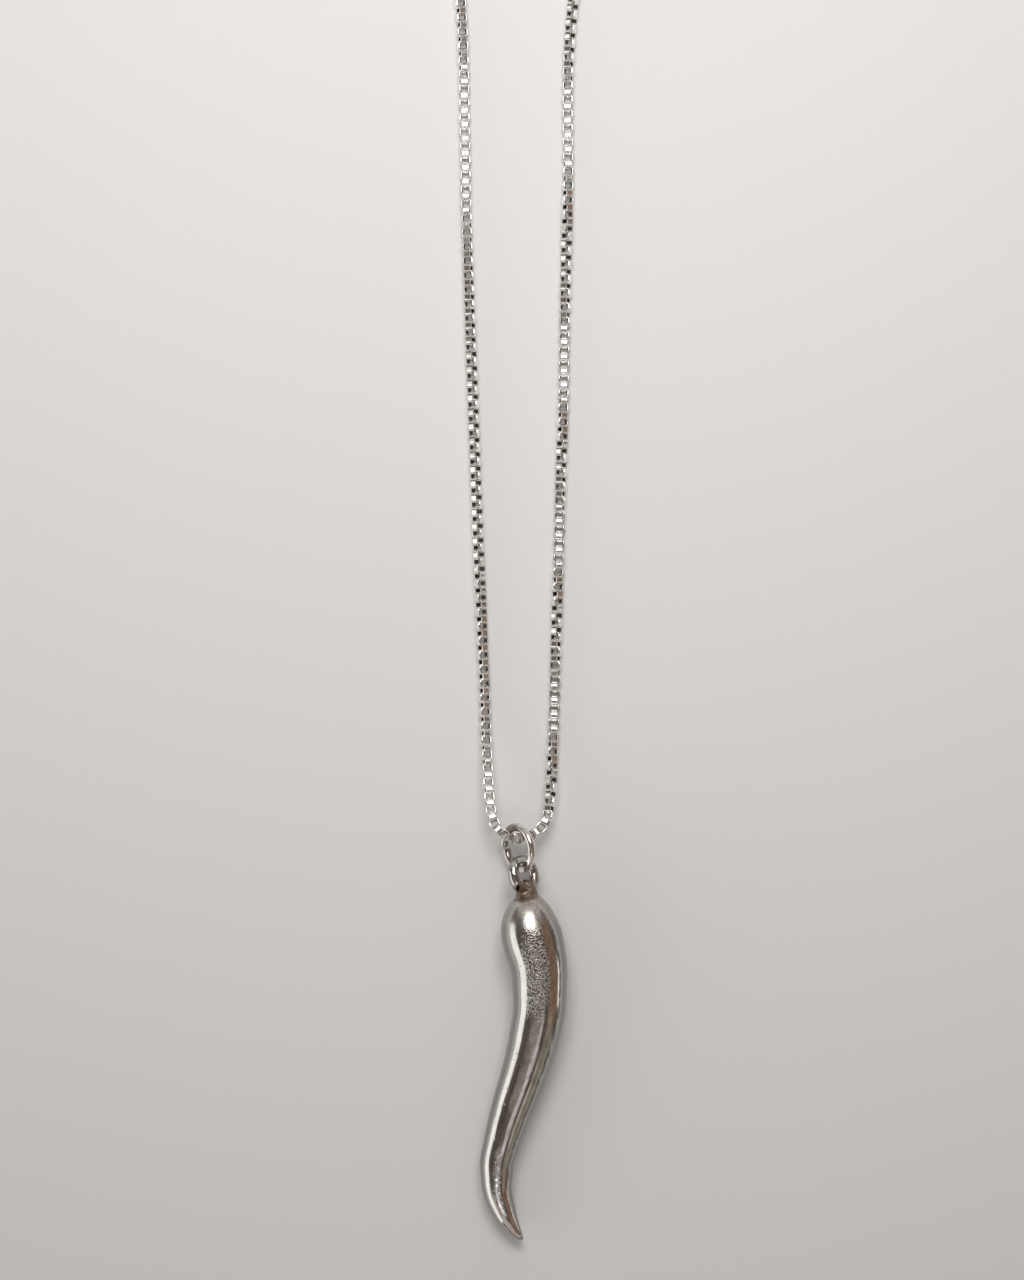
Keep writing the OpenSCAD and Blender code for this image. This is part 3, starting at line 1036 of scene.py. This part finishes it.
def box_link():
    """One link: a square ring of flat strip round Z with rounded edges, its sides along X
    and Y. It keeps at each point whether it is inside, and how far towards the ends of its
    side."""
    half = (CHAIN_W - LINK_WALL) / 2
    bend = LINK_CORNER - LINK_WALL / 2
    wall = LINK_WALL / 2
    edge = LINK_STRIP / 2
    flat = edge - LINK_EDGE
    bow_end = CHAIN_W / 2 * (CHAIN_W / 2 - LINK_CORNER)
    section = [(-wall, flat), (0, edge), (wall, flat), (wall, -flat), (0, -edge), (-wall, -flat)]
    sides = len(section)
    shell = bmesh.new()
    inner = shell.verts.layers.float.new("inner")
    bow = shell.verts.layers.float.new("bow")
    rings = []
    # Three rings of points round each of the four corners
    for i in range(12):
        quarter, step = divmod(i, 3)
        angle = math.radians(90 * quarter + 45 * step)
        corner = Matrix.Rotation(math.radians(90 * quarter), 2) @ Vector((half - bend, half - bend))
        way = Vector((math.cos(angle), math.sin(angle)))
        ring = []
        for k, (out, up) in enumerate(section):
            spot = corner + way * (bend + out)
            vertex = shell.verts.new((*(spot * MM), up * MM))
            vertex[inner] = float(out < 0)
            vertex[bow] = spot.x * spot.y / bow_end
            ring.append(vertex)
        rings.append(ring)
    for ring, after in zip(rings, rings[1:] + rings[:1]):
        for k in range(sides):
            n = (k + 1) % sides
            face = shell.faces.new((ring[k], ring[n], after[n], after[k]))
            face.smooth = True
    bmesh.ops.recalc_face_normals(shell, faces=shell.faces)
    # Sharp where the strip's flat sides meet its sloped edges
    for ring, after in zip(rings, rings[1:] + rings[:1]):
        for k in (0, 2, 3, 5):
            shell.edges.get((ring[k], after[k])).smooth = False
    mesh = bpy.data.meshes.new("box_link")
    shell.to_mesh(mesh)
    shell.free()
    return linked("box_link", mesh)


def box_chain_tree():
    """Links along a line, every other one turned a quarter about it."""
    tree = Shape("Box chain", Count=("Int", 10), Link=("Object", None), Seed=("Int", 3),
                 Inset=("Float", 0.0), Material=("Material", None))
    curve = tree.node("GeometryNodeMeshToCurve", {}, {"Mesh": tree.given["Geometry"]})["Curve"]
    length = tree.node("GeometryNodeCurveLength", {}, {"Curve": curve})["Length"]
    ends = {"Curve": curve, "Start": tree.given["Inset"], "End": length - tree.given["Inset"]}
    trimmed = tree.node("GeometryNodeTrimCurve", {"mode": "LENGTH"}, ends)["Curve"]
    inputs = {"Curve": trimmed, "Count": tree.given["Count"]}
    points = tree.node("GeometryNodeCurveToPoints", {}, inputs)
    index = tree.node("GeometryNodeInputIndex")["Index"]
    odd = tree.node("ShaderNodeMath", {"operation": "MODULO"}, (index, 2.0))["Value"]
    side = tree.vector("CROSS_PRODUCT", (0.0, 0.0, 1.0), points["Tangent"])
    settings = {"primary_axis": "X", "secondary_axis": "Y"}
    axes = {"Primary Axis": points["Tangent"], "Secondary Axis": side}
    lying = tree.node("FunctionNodeAxesToRotation", settings, axes)["Rotation"]
    loose = {"Min": -LINK_LOOSE, "Max": LINK_LOOSE, "Seed": tree.given["Seed"]}
    play = tree.node("FunctionNodeRandomValue", {"data_type": "FLOAT"}, loose)["Value"]
    angle = (tree.stored("twist") + odd * 90.0 + play) * math.radians(1)
    inputs = {"Axis": (1.0, 0.0, 0.0), "Angle": angle}
    about = tree.node("FunctionNodeAxisAngleToRotation", {}, inputs)
    inputs = {"Rotation": lying, "Rotate By": about["Rotation"]}
    turn = tree.node("FunctionNodeRotateRotation", {"rotation_space": "LOCAL"}, inputs)["Rotation"]
    link = tree.node("GeometryNodeObjectInfo", {}, {"Object": tree.given["Link"]})["Geometry"]
    inputs = {"Points": points["Points"], "Instance": link, "Rotation": turn}
    row = tree.node("GeometryNodeInstanceOnPoints", {}, inputs)["Instances"]
    inputs = {"Seed": tree.given["Seed"]}
    tone = tree.node("FunctionNodeRandomValue", {"data_type": "FLOAT"}, inputs)["Value"]
    return tree.finish(tree.store(row, "tone", tone, "INSTANCE"))


# The wire loop at each end of the chain: its wire, the radius of its ends, and its play
# in the end ring and in the last link
LOOP_WIRE = 0.36
LOOP_BOW = 0.62
LOOP_RING_PLAY = 0.06
LOOP_LINK_PLAY = 0.12
LOOP_STEPS = 12
LOOP_SIDES = 16


def end_link(side, outwards):
    """Wire loop that holds the chain's last box link on its end ring."""
    inner_x = END_RING_R - END_RING_WIRE / 2 - LOOP_WIRE / 2 - LOOP_RING_PLAY
    outer_x = CHAIN_END + LINK_WALL + LOOP_WIRE / 2 + LOOP_LINK_PLAY
    straight = outer_x - inner_x - 2 * LOOP_BOW
    slant = math.radians(END_RING_TILT)
    across = Vector((0, -math.sin(slant), math.cos(slant)))
    along = Vector((outwards, 0, 0))
    centre = END_RINGS[side] + along * (inner_x + outer_x) / 2
    points = []
    for end in (1, -1):
        for i in range(LOOP_STEPS + 1):
            angle = math.pi * (i / LOOP_STEPS - 0.5)
            out = end * (straight / 2 + LOOP_BOW * math.cos(angle))
            points.append(centre + along * out + across * end * LOOP_BOW * math.sin(angle))
    girths = [LOOP_WIRE / 2] * len(points)
    return round_bar("end_link_" + side, points, girths, LINK, LOOP_SIDES, closed=True)


def make_chain():
    points, twists = chain_line()
    line = line_object("chain_line", points, twist=twists)
    link = box_link()
    inset = CHAIN_W / 2 * MM
    chain = shaped(line, box_chain_tree(), "box_chain", Count=LINK_COUNT, Link=link, Seed=3,
                   Inset=inset, Material=LINK)
    bpy.data.objects.remove(link)
    join(chain, [end_link("left", -1), end_link("right", 1)])
    return chain


# The floor, the light and the camera

FLOOR_RADIUS = 1.6
FLOOR_COLOUR = (0.90, 0.905, 0.91, 1)
# What the room gives the metal, and what the camera sees past the floor
ROOM_LIGHT = (0.105, 0.087, 0.075, 1)
ROOM_SEEN = (0.52, 0.51, 0.50, 1)
# Middle of the picture on the surface and its height there, and the lens and its sensor
PICTURE_X = -1.0
PICTURE_Y = -61.0
PICTURE_TALL = 160
LENS = 150
SENSOR = 36
# Height at which the picture is true to size: the middle of the horn
TRUE_HEIGHT = 3.0


def make_floor():
    mesh = bpy.data.meshes.new("floor")
    disc = bmesh.new()
    bmesh.ops.create_circle(disc, cap_ends=True, segments=96, radius=FLOOR_RADIUS)
    disc.to_mesh(mesh)
    disc.free()
    floor = linked("floor", mesh)
    material, _ = new_material("pale_floor", Roughness=0.85, Base_Color=FLOOR_COLOUR)
    mesh.materials.append(material)


def softbox(name, centre, width, height, radiance, colour=(1, 1, 1), down=False):
    """A soft panel of light that faces the horn or straight down. Its radiance is what a
    mirror sees."""
    data = bpy.data.lights.new(name, "AREA")
    data.shape = "RECTANGLE"
    data.size = width
    data.size_y = height
    data.energy = radiance * math.pi * width * height
    data.color = colour
    panel = bpy.data.objects.new(name, data)
    panel.location = centre
    if not down:
        aim = Vector((0, PICTURE_Y * MM, 0)) - Vector(centre)
        panel.rotation_euler = aim.to_track_quat("-Z", "Y").to_euler()
    panel.visible_camera = False
    bpy.context.scene.collection.objects.link(panel)


def make_light():
    """The panels: place in metres, width, height, radiance and colour. And the room."""
    softbox("panel_top", (0.0, 0.088, 0.25), 0.175, 0.185, 5.0, (1.0, 0.99, 0.975), down=True)
    softbox("panel_left", (-1.0, -0.44, 0.30), 1.60, 0.54, 1.15, (1.0, 0.985, 0.95))
    softbox("wall_right", (1.0, 0.05, 0.62), 1.3, 0.85, 0.13, (1.0, 0.55, 0.28))
    softbox("wall_front", (0.0, -0.95, 0.62), 1.8, 0.62, 0.40, (1.0, 0.92, 0.86))
    softbox("wall_back", (0.0, 1.10, 0.50), 2.4, 0.90, 0.40, (1.0, 0.97, 0.94))
    softbox("strip_right", (1.1, -0.24, 0.07), 0.22, 0.08, 1.9, (1.0, 0.96, 0.90))
    softbox("wall_right_front", (0.92, -0.80, 0.58), 0.62, 0.70, 0.14, (1.0, 0.97, 0.78))
    softbox("strip_right_front", (0.98, -0.86, 0.235), 0.62, 0.05, 0.50, (0.97, 1.0, 0.78))
    softbox("strip_overhead", (-0.10, -0.38, 1.2), 1.2, 0.26, 0.23, (1.0, 0.92, 0.88))
    softbox("panel_front", (0.15, -0.72, 1.2), 0.8, 0.27, 0.48)
    softbox("lamp_front", (0.02, -0.79, 1.2), 0.20, 0.14, 6.0)
    world = bpy.data.worlds.new("studio")
    bpy.context.scene.world = world
    world.use_nodes = True
    tree = Tree(world.node_tree)
    back = world.node_tree.nodes["Background"]
    seen = tree.node("ShaderNodeLightPath")["Is Camera Ray"]
    inputs = {"Factor": seen, "A": ROOM_LIGHT, "B": ROOM_SEEN}
    colour = tree.node("ShaderNodeMix", {"data_type": "RGBA"}, inputs)["Result"]
    tree.nodes.links.new(colour.socket, back.inputs["Color"])


def make_camera():
    data = bpy.data.cameras.new("camera")
    data.lens = LENS
    data.sensor_width = SENSOR
    data.clip_start = 0.01
    camera = bpy.data.objects.new("camera", data)
    away = PICTURE_TALL * LENS / SENSOR + TRUE_HEIGHT
    camera.location = Vector((PICTURE_X, PICTURE_Y, away)) * MM
    bpy.context.scene.collection.objects.link(camera)
    bpy.context.scene.camera = camera


make_camera()
make_floor()
make_light()
bpy.context.scene.view_settings.view_transform = "Standard"

horn = make_horn()
jump_ring = make_jump_ring()
chain = make_chain()
for piece, node in ((horn, "horn"), (jump_ring, "jump_ring"), (chain, "chain")):
    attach(piece, "root")
    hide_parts(node)
for node in ("clasp", "end_ring_left", "end_ring_right"):
    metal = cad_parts[node]
    metal.data.materials.clear()
    metal.data.materials.append(CLASP)
